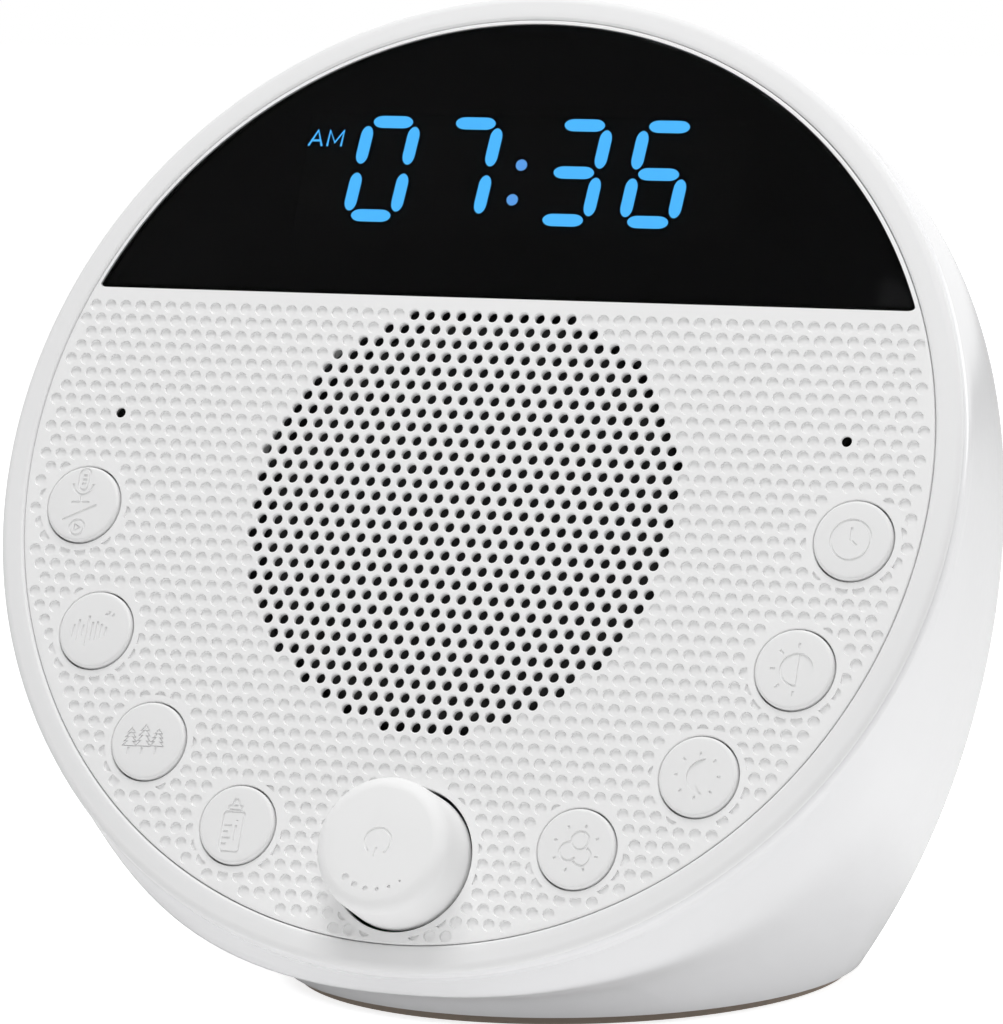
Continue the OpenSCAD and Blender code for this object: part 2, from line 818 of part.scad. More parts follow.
front_bezel();
grille_panel();
display_lens();
lens_mask();
display_module();
lit_segments();
display_board();
display_screws();
rear_housing();
base_plate();
base_screws();
foot_pad();
speaker_gasket();
speaker_frame();
speaker_surround();
speaker_cone();
dust_cap();
speaker_magnet();
speaker_screws();
button_board();
tact_switches();
board_screws();
encoder_body();
encoder_plunger();
encoder_shaft();
volume_knob();
microphones();
microphone_boots();
main_board();
main_board_parts();
power_socket();
main_board_screws();
light_column();
light_board();
light_leds();
button(0);  // button_record
button(1);  // button_nature
button(2);  // button_forest
button(3);  // button_lullaby
button(4);  // button_colour
button(5);  // button_night
button(6);  // button_dimmer
button(7);  // button_timer
stem(0);  // stem_record
stem(1);  // stem_nature
stem(2);  // stem_forest
stem(3);  // stem_lullaby
stem(4);  // stem_colour
stem(5);  // stem_night
stem(6);  // stem_dimmer
stem(7);  // stem_timer
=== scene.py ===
"""Surface pieces, finishes and stage of a white noise sound machine, as a Blender add-on."""

import json
import math

import bmesh
import bpy
from mathutils import Matrix, Vector


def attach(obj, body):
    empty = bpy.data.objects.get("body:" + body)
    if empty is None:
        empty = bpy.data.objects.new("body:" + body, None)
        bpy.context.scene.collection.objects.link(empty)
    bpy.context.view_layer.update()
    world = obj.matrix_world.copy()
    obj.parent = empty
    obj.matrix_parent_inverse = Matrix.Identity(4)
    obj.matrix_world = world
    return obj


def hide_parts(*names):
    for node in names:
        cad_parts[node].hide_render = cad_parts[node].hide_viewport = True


bl_info = {
    "name": "Sound machine surfaces",
    "version": (1, 0, 0),
    "blender": (4, 5, 0),
    "location": "View3D > Sidebar > Sound machine",
    "description": "Models the visible pieces of a bedside sound machine round its packed frame",
    "category": "Object",
}

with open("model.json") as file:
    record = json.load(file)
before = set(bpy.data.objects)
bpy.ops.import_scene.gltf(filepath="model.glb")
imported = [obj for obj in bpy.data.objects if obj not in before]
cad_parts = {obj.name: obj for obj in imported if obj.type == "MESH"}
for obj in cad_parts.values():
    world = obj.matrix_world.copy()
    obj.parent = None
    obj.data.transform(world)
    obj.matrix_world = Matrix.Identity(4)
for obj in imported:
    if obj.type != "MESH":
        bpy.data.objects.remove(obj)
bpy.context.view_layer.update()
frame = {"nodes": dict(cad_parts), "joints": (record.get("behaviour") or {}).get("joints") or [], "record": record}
MM = 0.001
BUTTONS = ("record", "nature", "forest", "lullaby", "colour", "night", "dimmer", "timer")


def joint(name):
    """A joint of the frame by its name."""
    return next(j for j in frame["joints"] if j["name"] == name)


def size(name, description, millimetres):
    """A length that a user may change."""
    return bpy.props.FloatProperty(
        name=name, description=description, default=millimetres * MM, unit="LENGTH", precision=5
    )


def ratio(name, description, default):
    """A plain number that a user may change."""
    return bpy.props.FloatProperty(name=name, description=description, default=default)


def tone(name, description, default):
    """A colour that a user may change."""
    return bpy.props.FloatVectorProperty(
        name=name, description=description, default=default, size=3, subtype="COLOR", min=0, max=1
    )


class FaceSizes(bpy.types.PropertyGroup):
    """Sizes of the face's panel, ring and lens."""

    knob_offset: size("Knob offset", "From the face's centre down to the knob's axis", 51.4)
    bezel_radius: size("Bezel radius", "Outside radius of the ring round the face", 66.2)
    bezel_width: size("Bezel width", "Width of the ring's front", 3.7)
    bezel_depth: size("Bezel depth", "From the face back to the housing's seam", 1.0)
    bezel_edge: size("Bezel edge", "Width of the ring's soft outer edge", 1.3)
    bezel_step: size("Bezel step", "How far the ring stands inside the housing's collar", 0.3)
    spigot_length: size("Spigot length", "How far the ring's spigot reaches into the housing", 5.0)
    panel_radius: size("Panel radius", "Radius of the perforated panel", 62.4)
    panel_wall: size("Panel wall", "Thickness of the panel", 2.4)
    grille_wall: size("Grille wall", "Thickness of the panel in front of the speaker", 1.1)
    lens_radius: size("Lens radius", "Radius of the display lens", 61.9)
    lens_edge: size("Lens edge", "Height of the lens's straight edge above the centre", 23.5)
    lens_wall: size("Lens wall", "Thickness of the lens", 1.2)
    lens_corner: size("Lens corner", "Radius of the lens's two corners", 0.9)
    lens_gap: size("Lens gap", "Gap round the lens", 0.08)
    window_ledge: size("Window ledge", "Width of the ledge that the lens lies on", 2.2)
    print_wall: size("Print wall", "Thickness of the print on the lens's back and sides", 0.08)
    window_half_width: size("Window half width", "Half the width of the print's window", 31)
    window_low: size("Window low", "Height of the window's lower edge above the centre", 33.1)
    window_high: size("Window high", "Height of the window's upper edge above the centre", 49.1)


class GrilleSizes(bpy.types.PropertyGroup):
    """Sizes of the panel's holes and dimples."""

    pitch: size("Pitch", "Distance between neighbouring holes", 2.2)
    radius: size("Radius", "Radius of a hole", 0.68)
    rim: size("Rim", "Width of the soft rim of a hole", 0.17)
    flare: size("Flare", "How much wider a hole is at the panel's back", 0.17)
    dimple_radius: size("Dimple radius", "Radius of a dimple", 0.76)
    dimple_depth: size("Dimple depth", "Depth of a dimple", 0.34)
    field: size("Field", "Radius of the field of holes", 29.6)
    drop: size("Drop", "How far the field sits below the face's centre", 5.7)
    margin: size("Margin", "From the outermost dimples' middles to the panel's edge", 0.85)
    collar: size("Collar", "Plain ring round a button", 0.9)
    sliver: size("Sliver", "How far a trimmed dimple's middle may lie inside that ring", 0.35)
    microphone_x: size("Microphone x", "From the middle plane to a microphone's hole", 50.6)
    microphone_y: size("Microphone y", "Height of a microphone's hole above the centre", 6.0)
    microphone_seat: size("Microphone seat", "Radius of the seat behind a microphone's hole", 1.7)


class ButtonSizes(bpy.types.PropertyGroup):
    """Sizes of the buttons and the knob."""

    ring: size("Ring", "Radius of the circle of buttons", 53.9)
    radius: size("Radius", "Radius of a cap", 5.15)
    gap: size("Gap", "Gap round a cap", 0.2)
    engraving: size("Engraving", "Width of a symbol's lines", 0.36)
    engraving_depth: size("Engraving depth", "Depth of a symbol's lines", 0.2)
    rise: size("Rise", "How far a cap stands proud", 0.5)
    first: ratio("First", "Angle from the knob to the first button, in degrees", 25.6)
    step: ratio("Step", "Angle between neighbouring buttons, in degrees", 19.0)
    knob_radius: size("Knob radius", "Radius of the knob", 9.1)
    knob_height: size("Knob height", "Height of the knob above the panel", 7.7)
    knob_gap: size("Knob gap", "Gap round the knob's foot", 0.4)
    knob_edge: size("Knob edge", "Radius of the knob's top edge", 2.0)


class HousingSizes(bpy.types.PropertyGroup):
    """Driving sizes of the housing's loft."""

    wall: size("Wall", "Wall of the housing", 2.4)
    collar_length: size("Collar length", "Straight collar behind the bezel", 2.6)
    collar_edge: size("Collar edge", "Radius of the collar's front edge", 1.1)
    foot_half_width: size("Foot half width", "Half the width of the foot", 38.5)
    foot_front: size("Foot front", "From the hinge line to the foot's front", 21.2)
    foot_back: size("Foot back", "From the hinge line to the foot's back", 108)
    back_reach: size("Back reach", "Reach of the back, a third of the way down", 147.4)
    haunch_reach: size("Haunch reach", "Reach of the back, two thirds of the way down", 136.4)
    shoulder: size("Shoulder", "Half width, a third of the way down", 61.8)
    waist: size("Waist", "Half width, two thirds of the way down", 55)
    chin_reach: size("Chin reach", "Reach of the front, a third of the way down", 5)
    throat_reach: size("Throat reach", "Reach of the front, two thirds of the way down", 10)
    fullness: ratio("Fullness", "How much fuller than an ellipse the middle ovals are", 0.3)
    pad_wall: size("Pad wall", "Thickness of the foot pad", 1.2)
    pad_inset: size("Pad inset", "How far the pad sits inside the foot", 1.5)
    inlet_radius: size("Inlet radius", "Radius of the power inlet's round ends", 1.9)
    inlet_half: size("Inlet half", "From the inlet's middle to an end's middle", 2.8)
    inlet_height: size("Inlet height", "Height of the inlet above the table", 12.4)


class Colours(bpy.types.PropertyGroup):
    """Colours of the finishes."""

    face: tone("Face", "Matte white of the panel", (0.872, 0.872, 0.872))
    # The ring's tone is the panel's matte white made darker: painted shade for the ring's front, not a different
    # plastic.
    ring: tone("Ring", "Matte white of the ring", (0.845, 0.845, 0.848))
    button: tone("Button", "Matte white of the caps", (0.835, 0.835, 0.835))
    knob: tone("Knob", "Matte white of the knob", (0.875, 0.875, 0.875))
    housing: tone("Housing", "Polished white of the housing", (0.89, 0.89, 0.9))
    lens: tone("Lens", "Smoked black of the lens", (0.35, 0.35, 0.36))
    lit: tone("Lit", "Light blue of the display", (0.07, 0.45, 0.92))
    pad: tone("Pad", "Tan of the foot pad", (0.335, 0.275, 0.223))


GROUPS = {
    "sm_face": FaceSizes,
    "sm_grille": GrilleSizes,
    "sm_buttons": ButtonSizes,
    "sm_housing": HousingSizes,
    "sm_colours": Colours,
}


# The face's own frame, from the frame's knob joint


def outward():
    """The face's outward direction."""
    return -Vector(joint("turn_knob")["axis"]).normalized()


def lean():
    """How far the face leans back, in radians."""
    out = outward()
    return math.atan2(out.z, -out.y)


def face_matrix():
    """The face's frame: X right, Y up the face, Z outwards, origin at the face's centre."""
    turn = Matrix.Rotation(math.pi / 2 - lean(), 4, "X")
    knob = Vector(joint("turn_knob")["pos_m"])
    centre = knob + turn @ Vector((0, bpy.context.scene.sm_face.knob_offset, 0))
    return Matrix.Translation(centre) @ turn


# Modelling steps that the pieces share


def deselect():
    """Nothing selected, in object mode."""
    if bpy.context.object and bpy.context.object.mode != "OBJECT":
        bpy.ops.object.mode_set(mode="OBJECT")
    bpy.ops.object.select_all(action="DESELECT")


def pick(piece):
    """Only this piece selected and active."""
    deselect()
    piece.select_set(True)
    bpy.context.view_layer.objects.active = piece


def leave_outward():
    """Turns all faces outwards and leaves edit mode."""
    bpy.ops.mesh.select_all(action="SELECT")
    bpy.ops.mesh.normals_make_consistent(inside=False)
    bpy.ops.object.mode_set(mode="OBJECT")


def disc(name, points, radius=1):
    """A flat round face at the origin."""
    deselect()
    bpy.ops.mesh.primitive_circle_add(
        vertices=points, radius=radius, fill_type="NGON", location=(0, 0, 0)
    )
    return added(name)


def raise_all(height):
    """Extrudes all upwards, in edit mode."""
    bpy.ops.mesh.select_all(action="SELECT")
    bpy.ops.mesh.extrude_region_move(TRANSFORM_OT_translate={"value": (0, 0, height)})


def added(name):
    """Names the primitive that was just added."""
    piece = bpy.context.object
    piece.name = name
    piece.data.name = name
    return piece


def select_where(piece, kind, test):
    """Selects the vertices or edges whose centre passes the test. Ends in edit mode."""
    pick(piece)
    bpy.ops.object.mode_set(mode="EDIT")
    bpy.ops.mesh.select_mode(type=kind)
    bpy.ops.mesh.select_all(action="DESELECT")
    mesh = bmesh.from_edit_mesh(piece.data)
    if kind == "VERT":
        for vertex in mesh.verts:
            vertex.select_set(test(vertex.co, vertex))
    else:
        for edge in mesh.edges:
            edge.select_set(test((edge.verts[0].co + edge.verts[1].co) / 2, edge))
    mesh.select_flush_mode()
    bmesh.update_edit_mesh(piece.data)


def smooth(piece, degrees=30):
    """Smooth shading up to an angle."""
    pick(piece)
    bpy.ops.object.shade_smooth_by_angle(angle=math.radians(degrees))


def apply_modifier(piece, modifier):
    """Applies one modifier."""
    pick(piece)
    bpy.ops.object.modifier_apply(modifier=modifier.name)


def carve(piece, cutter, operation="DIFFERENCE"):
    """Cuts, joins or trims the piece with a closed cutter, which is then gone."""
    modifier = piece.modifiers.new("carve", "BOOLEAN")
    modifier.object = cutter
    modifier.operation = operation
    modifier.solver = "MANIFOLD"
    apply_modifier(piece, modifier)
    bpy.data.objects.remove(cutter)


def carve_at(piece, cutter, x, y):
    """Carves with a cutter that is first moved to a place in the face's plane."""
    place(cutter, Matrix.Translation((x, y, 0)))
    carve(piece, cutter)


def turned(name, profile, steps=128, hollow=False):
    """A turned piece: a ring of edges is extruded along its profile of (radius, height) points."""
    deselect()
    radius, height = profile[0]
    bpy.ops.mesh.primitive_circle_add(vertices=steps, radius=radius, location=(0, 0, height))
    piece = added(name)
    bpy.ops.object.transform_apply(location=True, rotation=False, scale=False)
    bpy.ops.object.mode_set(mode="EDIT")
    bpy.ops.mesh.select_mode(type="EDGE")
    bpy.ops.mesh.select_all(action="SELECT")
    for next_radius, next_height in profile[1:]:
        bpy.ops.mesh.extrude_edges_move(
            TRANSFORM_OT_translate={"value": (0, 0, next_height - height)}
        )
        share = next_radius / radius
        if abs(share - 1) > 1e-9:
            bpy.ops.transform.resize(value=(share, share, 1), center_override=(0, 0, next_height))
        radius, height = next_radius, next_height
    bpy.ops.mesh.select_all(action="DESELECT")
    bpy.ops.mesh.select_non_manifold()
    if hollow:
        bpy.ops.mesh.bridge_edge_loops()
    else:
        bpy.ops.mesh.fill_holes(sides=0)
    leave_outward()
    return piece


def arc(middle_x, middle_y, radius, start, end, steps=24):
    """Points of a profile's arc, from start to end in degrees."""
    return [
        (
            middle_x + radius * math.cos(math.radians(start + (end - start) * k / steps)),
            middle_y + radius * math.sin(math.radians(start + (end - start) * k / steps)),
        )
        for k in range(steps + 1)
    ]


def prism(name, outline, low, high):
    """A closed prism between two heights: a circle whose points are moved to the outline."""
    piece = disc(name, len(outline))
    for vertex, (x, y) in zip(piece.data.vertices, outline):
        vertex.co = (x, y, low)
    bpy.ops.object.mode_set(mode="EDIT")
    raise_all(high - low)
    leave_outward()
    return piece


def stroke(name, points, height, radius):
    """A thin round stroke through points of the face's plane, with closed ends."""
    deselect()
    line = bpy.data.curves.new(name, "CURVE")
    line.dimensions = "3D"
    line.bevel_depth = radius
    line.bevel_resolution = 1
    line.use_fill_caps = True
    spline = line.splines.new("POLY")
    closed = math.dist(points[0], points[-1]) < 1e-6
    path = points[:-1] if closed else points
    spline.points.add(len(path) - 1)
    for point, (x, y) in zip(spline.points, path):
        point.co = (x, y, height, 1)
    spline.use_cyclic_u = closed
    piece = bpy.data.objects.new(name, line)
    bpy.context.collection.objects.link(piece)
    pick(piece)
    bpy.ops.object.convert(target="MESH")
    piece = added(name)
    bpy.ops.object.mode_set(mode="EDIT")
    bpy.ops.mesh.select_all(action="SELECT")
    bpy.ops.mesh.remove_doubles(threshold=1e-7)
    bpy.ops.mesh.select_all(action="DESELECT")
    bpy.ops.mesh.select_non_manifold()
    bpy.ops.mesh.fill_holes(sides=0)
    leave_outward()
    return piece


def place(piece, matrix):
    """Puts the piece at its place and makes that its mesh's own."""
    pick(piece)
    piece.matrix_world = matrix @ piece.matrix_world
    bpy.ops.object.transform_apply(location=True, rotation=True, scale=True)


def on_face(piece, x=0.0, y=0.0):
    """Places a piece that was modelled at the origin on the face."""
    place(piece, face_matrix() @ Matrix.Translation((x, y, 0)))


def copies(source, places, name):
    """One mesh of many copies of source, each at a place in the face's plane."""
    base = [vertex.co.copy() for vertex in source.data.vertices]
    faces = [list(face.vertices) for face in source.data.polygons]
    verts = []
    polygons = []
    for x, y in places:
        start = len(verts)
        verts.extend((v.x + x, v.y + y, v.z) for v in base)
        polygons.extend([start + i for i in face] for face in faces)
    data = bpy.data.meshes.new(name)
    data.from_pydata(verts, [], polygons)
    row = bpy.data.objects.new(name, data)
    bpy.context.collection.objects.link(row)
    return row


def finished(piece, body, slot, material, *nodes):
    """Gives a finished piece its material, its body and the nodes that it stands for."""
    piece.data.materials.clear()
    piece.data.materials.append(material)
    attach(piece, body)
    if nodes:
        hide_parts(*nodes)


# Materials. Their names differ from those of the frame's own flat materials.


def new_group(name, inputs, outputs):
    """An empty shader node group with its sockets."""
    group = bpy.data.node_groups.new(name, "ShaderNodeTree")
    for socket, kind, value in inputs:
        made = group.interface.new_socket(socket, in_out="INPUT", socket_type=kind)
        made.default_value = value
    for socket, kind in outputs:
        group.interface.new_socket(socket, in_out="OUTPUT", socket_type=kind)
    return group


def math_node(tree, operation, *values):
    """The result of a math node. A value is a number or another node's socket."""
    node = tree.nodes.new("ShaderNodeMath")
    node.operation = operation
    for socket, value in zip(node.inputs, values):
        if isinstance(value, bpy.types.NodeSocket):
            tree.links.new(value, socket)
        else:
            socket.default_value = value
    return node.outputs[0]


def grain_group():
    """Fine moulded grain: a height, a mask of tiny tone changes and a roughness change."""
    group = bpy.data.node_groups.get("moulded_grain")
    if group:
        return group
    group = new_group(
        "moulded_grain",
        [
            ("Colour", "NodeSocketColor", (0.8, 0.8, 0.8, 1)),
            ("Shade", "NodeSocketColor", (0.7, 0.7, 0.7, 1)),
            ("Grain", "NodeSocketFloat", 5000.0),
            ("Cloud", "NodeSocketFloat", 30.0),
            ("Roughness", "NodeSocketFloat", 0.5),
            ("Spread", "NodeSocketFloat", 0.1),
        ],
        [
            ("Colour", "NodeSocketColor"),
            ("Roughness", "NodeSocketFloat"),
            ("Height", "NodeSocketFloat"),
        ],
    )
    nodes = group.nodes
    links = group.links
    entry = nodes.new("NodeGroupInput")
    leave = nodes.new("NodeGroupOutput")
    place_of = nodes.new("ShaderNodeTexCoord")
    fine = nodes.new("ShaderNodeTexNoise")
    cloud = nodes.new("ShaderNodeTexNoise")
    fine.inputs["Detail"].default_value = 2
    cloud.inputs["Detail"].default_value = 3
    links.new(place_of.outputs["Object"], fine.inputs["Vector"])
    links.new(place_of.outputs["Object"], cloud.inputs["Vector"])
    links.new(entry.outputs["Grain"], fine.inputs["Scale"])
    links.new(entry.outputs["Cloud"], cloud.inputs["Scale"])
    mix = nodes.new("ShaderNodeMix")
    mix.data_type = "RGBA"
    links.new(cloud.outputs["Fac"], mix.inputs["Factor"])
    links.new(entry.outputs["Colour"], mix.inputs["A"])
    links.new(entry.outputs["Shade"], mix.inputs["B"])
    links.new(mix.outputs["Result"], leave.inputs["Colour"])
    spread, base = entry.outputs["Spread"], entry.outputs["Roughness"]
    rough = math_node(group, "MULTIPLY_ADD", fine.outputs["Fac"], spread, base)
    links.new(rough, leave.inputs["Roughness"])
    links.new(fine.outputs["Fac"], leave.inputs["Height"])
    return group


def colours():
    """The scene's colours of the finishes."""
    return bpy.context.scene.sm_colours


def plastic(name, colour, roughness, grain=5000.0, bump=0.05, spread=0.08, shade=0.97, **sockets):
    """A moulded plastic, paint or rubber with fine grain. sockets sets further shader values."""
    material = bpy.data.materials.get(name)
    if material:
        return material
    material = bpy.data.materials.new(name)
    material.use_nodes = True
    nodes = material.node_tree.nodes
    links = material.node_tree.links
    shader = nodes["Principled BSDF"]
    group = nodes.new("ShaderNodeGroup")
    group.node_tree = grain_group()
    group.inputs["Colour"].default_value = (*colour, 1)
    group.inputs["Shade"].default_value = (*(c * shade for c in colour), 1)
    group.inputs["Grain"].default_value = grain
    group.inputs["Roughness"].default_value = roughness - spread / 2
    group.inputs["Spread"].default_value = spread
    bump_node = nodes.new("ShaderNodeBump")
    bump_node.inputs["Strength"].default_value = bump
    bump_node.inputs["Distance"].default_value = 0.1 * MM
    links.new(group.outputs["Colour"], shader.inputs["Base Color"])
    links.new(group.outputs["Roughness"], shader.inputs["Roughness"])
    links.new(group.outputs["Height"], bump_node.inputs["Height"])
    links.new(bump_node.outputs["Normal"], shader.inputs["Normal"])
    for socket, value in sockets.items():
        shader.inputs[socket.replace("_", " ")].default_value = value
    return material


def face_white():
    """Matte moulded white of the panel."""
    return plastic("matte_face", colours().face, 0.65)


def ring_white_painted_shade():
    """Matte moulded white of the ring, made darker than the panel's same white as painted shade on the ring."""
    return plastic("matte_ring_painted_shade", colours().ring, 0.65)


def button_white():
    """Matte moulded white of the caps."""
    return plastic("matte_button", colours().button, 0.65)


def knob_white():
    """Matte moulded white of the knob."""
    return plastic("matte_knob", colours().knob, 0.6)


def housing_white():
    """Polished white of the housing."""
    tint = colours().housing
    return plastic("polished_housing", tint, 0.2, grain=900.0, bump=0.004, spread=0.03)


def smoked_lens():
    """Smoked acrylic of the display lens."""
    return plastic(
        "smoked_lens",
        colours().lens,
        0.03,
        grain=700.0,
        bump=0.002,
        spread=0.01,
        Transmission_Weight=1.0,
        IOR=1.1,
    )


def print_black():
    """Matte black print on the lens's back."""
    return plastic("print_black", (0.004, 0.004, 0.005), 0.9, bump=0.01, Specular_IOR_Level=0.1)


def lit_blue():
    """Light of the display's bars, a little uneven as a light guide is, with a dimmer colon."""
    material = bpy.data.materials.get("lit_blue")
    if material:
        return material
    material = plastic("lit_blue", colours().lit, 0.5, grain=1500.0, Emission_Strength=2.8)
    nodes = material.node_tree.nodes
    links = material.node_tree.links
    group = next(n for n in nodes if n.type == "GROUP")
    colon_half_width = 1.6 * MM
    dim_blue = (0.098, 0.297, 0.69, 1)
    split = nodes.new("ShaderNodeSeparateXYZ")
    links.new(nodes.new("ShaderNodeTexCoord").outputs["Object"], split.inputs[0])
    tree = material.node_tree
    middle = math_node(tree, "COMPARE", split.outputs["X"], 0, colon_half_width)
    light = nodes.new("ShaderNodeMixRGB")
    light.inputs["Color2"].default_value = dim_blue
    links.new(middle, light.inputs["Fac"])
    links.new(group.outputs["Colour"], light.inputs["Color1"])
    links.new(light.outputs[0], nodes["Principled BSDF"].inputs["Emission Color"])
    return material


def pad_tan():
    """Soft tan of the foot pad."""
    return plastic("soft_pad", colours().pad, 0.8, grain=2500.0, bump=0.3)


def metal(name, colour, roughness):
    """A plain plated metal."""
    return plastic(name, colour, roughness, grain=1200.0, spread=0.15, Metallic=1.0)


# Operators: one for each piece or group of like pieces


class PieceOperator:
    """What every piece's operator shares."""

    bl_options = {"REGISTER", "UNDO"}


class OBJECT_OT_sm_housing(PieceOperator, bpy.types.Operator):
    """Lofts the housing from the seam behind the bezel down to its foot"""

    bl_idname = "object.sm_housing"
    bl_label = "Housing"

    stations = 44
    points = 160
    collar_shares = (1, 0.5, 0.2)

    def execute(self, context):
        sizes = context.scene.sm_housing
        deselect()
        loft = Loft(sizes)
        mouth = outward() * sizes.collar_length
        turns = [i / self.points for i in range(self.points)]
        sections = [
            [loft.point(0, turn) + mouth * share for turn in turns] for share in self.collar_shares
        ]
        sections += [
            [loft.point(k / self.stations, turn) for turn in turns] for k in range(self.stations + 1)
        ]
        bpy.ops.mesh.primitive_circle_add(vertices=self.points, radius=1, location=(0, 0, 0))
        shell = added("housing_shell")
        bpy.ops.object.mode_set(mode="EDIT")
        for _ in sections[1:]:
            bpy.ops.mesh.primitive_circle_add(vertices=self.points, radius=1, location=(0, 0, 0))
        bpy.ops.object.mode_set(mode="OBJECT")
        for vertex, spot in zip(shell.data.vertices, (p for section in sections for p in section)):
            vertex.co = spot
        pick(shell)
        bpy.ops.object.mode_set(mode="EDIT")
        bpy.ops.mesh.select_all(action="SELECT")
        bpy.ops.mesh.bridge_edge_loops()
        leave_outward()
        wall = shell.modifiers.new("wall", "SOLIDIFY")
        wall.thickness = sizes.wall
        wall.offset = -1
        wall.use_even_offset = True
        apply_modifier(shell, wall)
        front = face_matrix().inverted()
        mouth_depth = -context.scene.sm_face.bezel_depth
        outside = context.scene.sm_face.bezel_radius - 0.5 * MM

        def on_mouth(co, edge):
            at = [front @ v.co for v in edge.verts]
            return all(abs(p.z - mouth_depth) < 1e-5 and math.hypot(p.x, p.y) > outside for p in at)

        select_where(shell, "EDGE", on_mouth)
        bpy.ops.mesh.bevel(offset=sizes.collar_edge, segments=6, affect="EDGES")
        self.inlet(shell, sizes)
        smooth(shell, 35)
        finished(shell, "root", "housing_white", housing_white(), "rear_housing")
        return {"FINISHED"}

    def inlet(self, shell, sizes):
        """Cuts the round ended power inlet into the back wall."""
        half, radius = sizes.inlet_half, sizes.inlet_radius
        outline = arc(half, 0, radius, -90, 90, 16) + arc(-half, 0, radius, 90, 270, 16)
        reach = 12 * MM
        cutter = prism("inlet", outline, -reach, reach)
        back_wall = Matrix.Translation((0, 50 * MM, sizes.inlet_height))
        place(cutter, back_wall @ Matrix.Rotation(math.pi / 2, 4, "X"))
        carve(shell, cutter)


class Loft:
    """The housing's form: ovals in planes that turn about the line where the seam meets the table."""

    def __init__(self, sizes):
        face = bpy.context.scene.sm_face
        self.sizes = sizes
        self.lean = lean()
        centre = face_matrix().translation
        self.radius = face.bezel_radius
        self.hinge_z = sizes.pad_wall
        seam = centre - outward() * (face.bezel_depth + sizes.collar_length)
        self.drop = (seam.z - self.hinge_z) / math.cos(self.lean)
        self.hinge_y = seam.y - self.drop * math.sin(self.lean)

    @staticmethod
    def bezier(a, b, c, d, s):
        """Value of a cubic Bezier curve at s."""
        t = 1 - s
        return a * t**3 + 3 * b * s * t * t + 3 * c * s * s * t + d * s**3

    def point(self, s, turn, inset=0.0):
        """A point of the oval at s, a share of a turn round it."""
        sizes = self.sizes
        top, bottom = self.drop + self.radius, self.drop - self.radius
        far = self.bezier(top, sizes.back_reach, sizes.haunch_reach, sizes.foot_back, s) - inset
        near = self.bezier(bottom, sizes.chin_reach, sizes.throat_reach, sizes.foot_front, s) + inset
        half = self.bezier(self.radius, sizes.shoulder, sizes.waist, sizes.foot_half_width, s) - inset
        power = 2 / (2 + sizes.fullness * 4 * s * (1 - s))
        x = math.cos(2 * math.pi * turn)
        y = math.sin(2 * math.pi * turn)
        x = math.copysign(abs(x) ** power, x)
        y = math.copysign(abs(y) ** power, y)
        reach = (far + near) / 2 + (far - near) / 2 * y
        tilt = self.lean + s * (math.pi / 2 - self.lean)
        up_y, up_z = math.sin(tilt), math.cos(tilt)
        return Vector((half * x, self.hinge_y + reach * up_y, self.hinge_z + reach * up_z))


class OBJECT_OT_sm_bezel(PieceOperator, bpy.types.Operator):
    """Turns the ring round the face, with its soft outer edge and inner lip"""

    bl_idname = "object.sm_bezel"
    bl_label = "Bezel"

    def execute(self, context):
        face = context.scene.sm_face
        outer = face.bezel_radius - face.bezel_step
        inner = face.bezel_radius - face.bezel_width
        depth = face.bezel_depth
        edge = face.bezel_edge
        lip = 0.45 * MM
        crest = 2.2 * MM
        ledge = face.panel_radius - 1.3 * MM
        spigot = face.bezel_radius - context.scene.sm_housing.wall - 0.5 * MM
        back = -depth - face.spigot_length
        quarter = arc(0, 0, 1, 0, 80, 10)
        profile = (
            [(ledge, back), (spigot, back), (spigot, -depth), (outer - 0.1 * MM, -depth)]
            + [(outer - edge * (1 - x), (0.8 * y - 0.85) * depth) for x, y in quarter]
            + [(outer - crest, -0.02 * MM)]
            + arc(inner + lip, -lip + 0.08 * MM, lip, 90, 180, 4)
            + [(inner, -face.panel_wall), (ledge, -face.panel_wall)]
        )
        ring = turned("face_ring", profile, steps=256, hollow=True)
        smooth(ring, 40)
        on_face(ring)
        # The ring takes the darker copy of the panel's white, which is painted shade.
        finished(ring, "root", "face_white", ring_white_painted_shade(), "front_bezel")
        return {"FINISHED"}


def button_places():
    """The buttons' places on the face, in the order of BUTTONS."""
    sizes = bpy.context.scene.sm_buttons
    angles = [-(sizes.first + (3 - k) * sizes.step) for k in range(4)]
    angles += [sizes.first + k * sizes.step for k in range(4)]
    return [
        (sizes.ring * math.sin(math.radians(a)), -sizes.ring * math.cos(math.radians(a)))
        for a in angles
    ]


def lens_prism(name, radius, edge, corner, low, high):
    """A disc cut off at its straight edge, with its two corners rounded, between two depths."""
    piece = disc(name, 360, radius)
    bpy.ops.object.mode_set(mode="EDIT")
    bpy.ops.mesh.select_all(action="SELECT")
    bpy.ops.mesh.bisect(plane_co=(0, edge, 0), plane_no=(0, 1, 0), clear_inner=True)
    half = math.sqrt(radius**2 - edge**2)
    near = 0.1 * MM
    select_where(
        piece, "VERT", lambda co, v: abs(co.y - edge) < 1e-6 and abs(abs(co.x) - half) < near
    )
    bpy.ops.mesh.bevel(offset=1.4 * corner, segments=8, affect="VERTICES")
    bpy.ops.mesh.select_all(action="SELECT")
    bpy.ops.mesh.remove_doubles(threshold=1e-6)
    bpy.ops.mesh.select_all(action="SELECT")
    bpy.ops.transform.translate(value=(0, 0, low))
    raise_all(high - low)
    leave_outward()
    return piece


def lattice():
    """The grille's lattice over the whole panel."""
    grille = bpy.context.scene.sm_grille
    face = bpy.context.scene.sm_face
    row_height = grille.pitch * math.sqrt(3) / 2
    rows = math.ceil(face.panel_radius / row_height)
    top = math.floor((face.lens_edge - 1.8 * MM) / row_height)
    return [
        (grille.pitch * (column + (0.5 if row % 2 == 0 else 0)), row * row_height)
        for row in range(-rows, top + 1)
        for column in range(-rows, rows + 1)
    ]


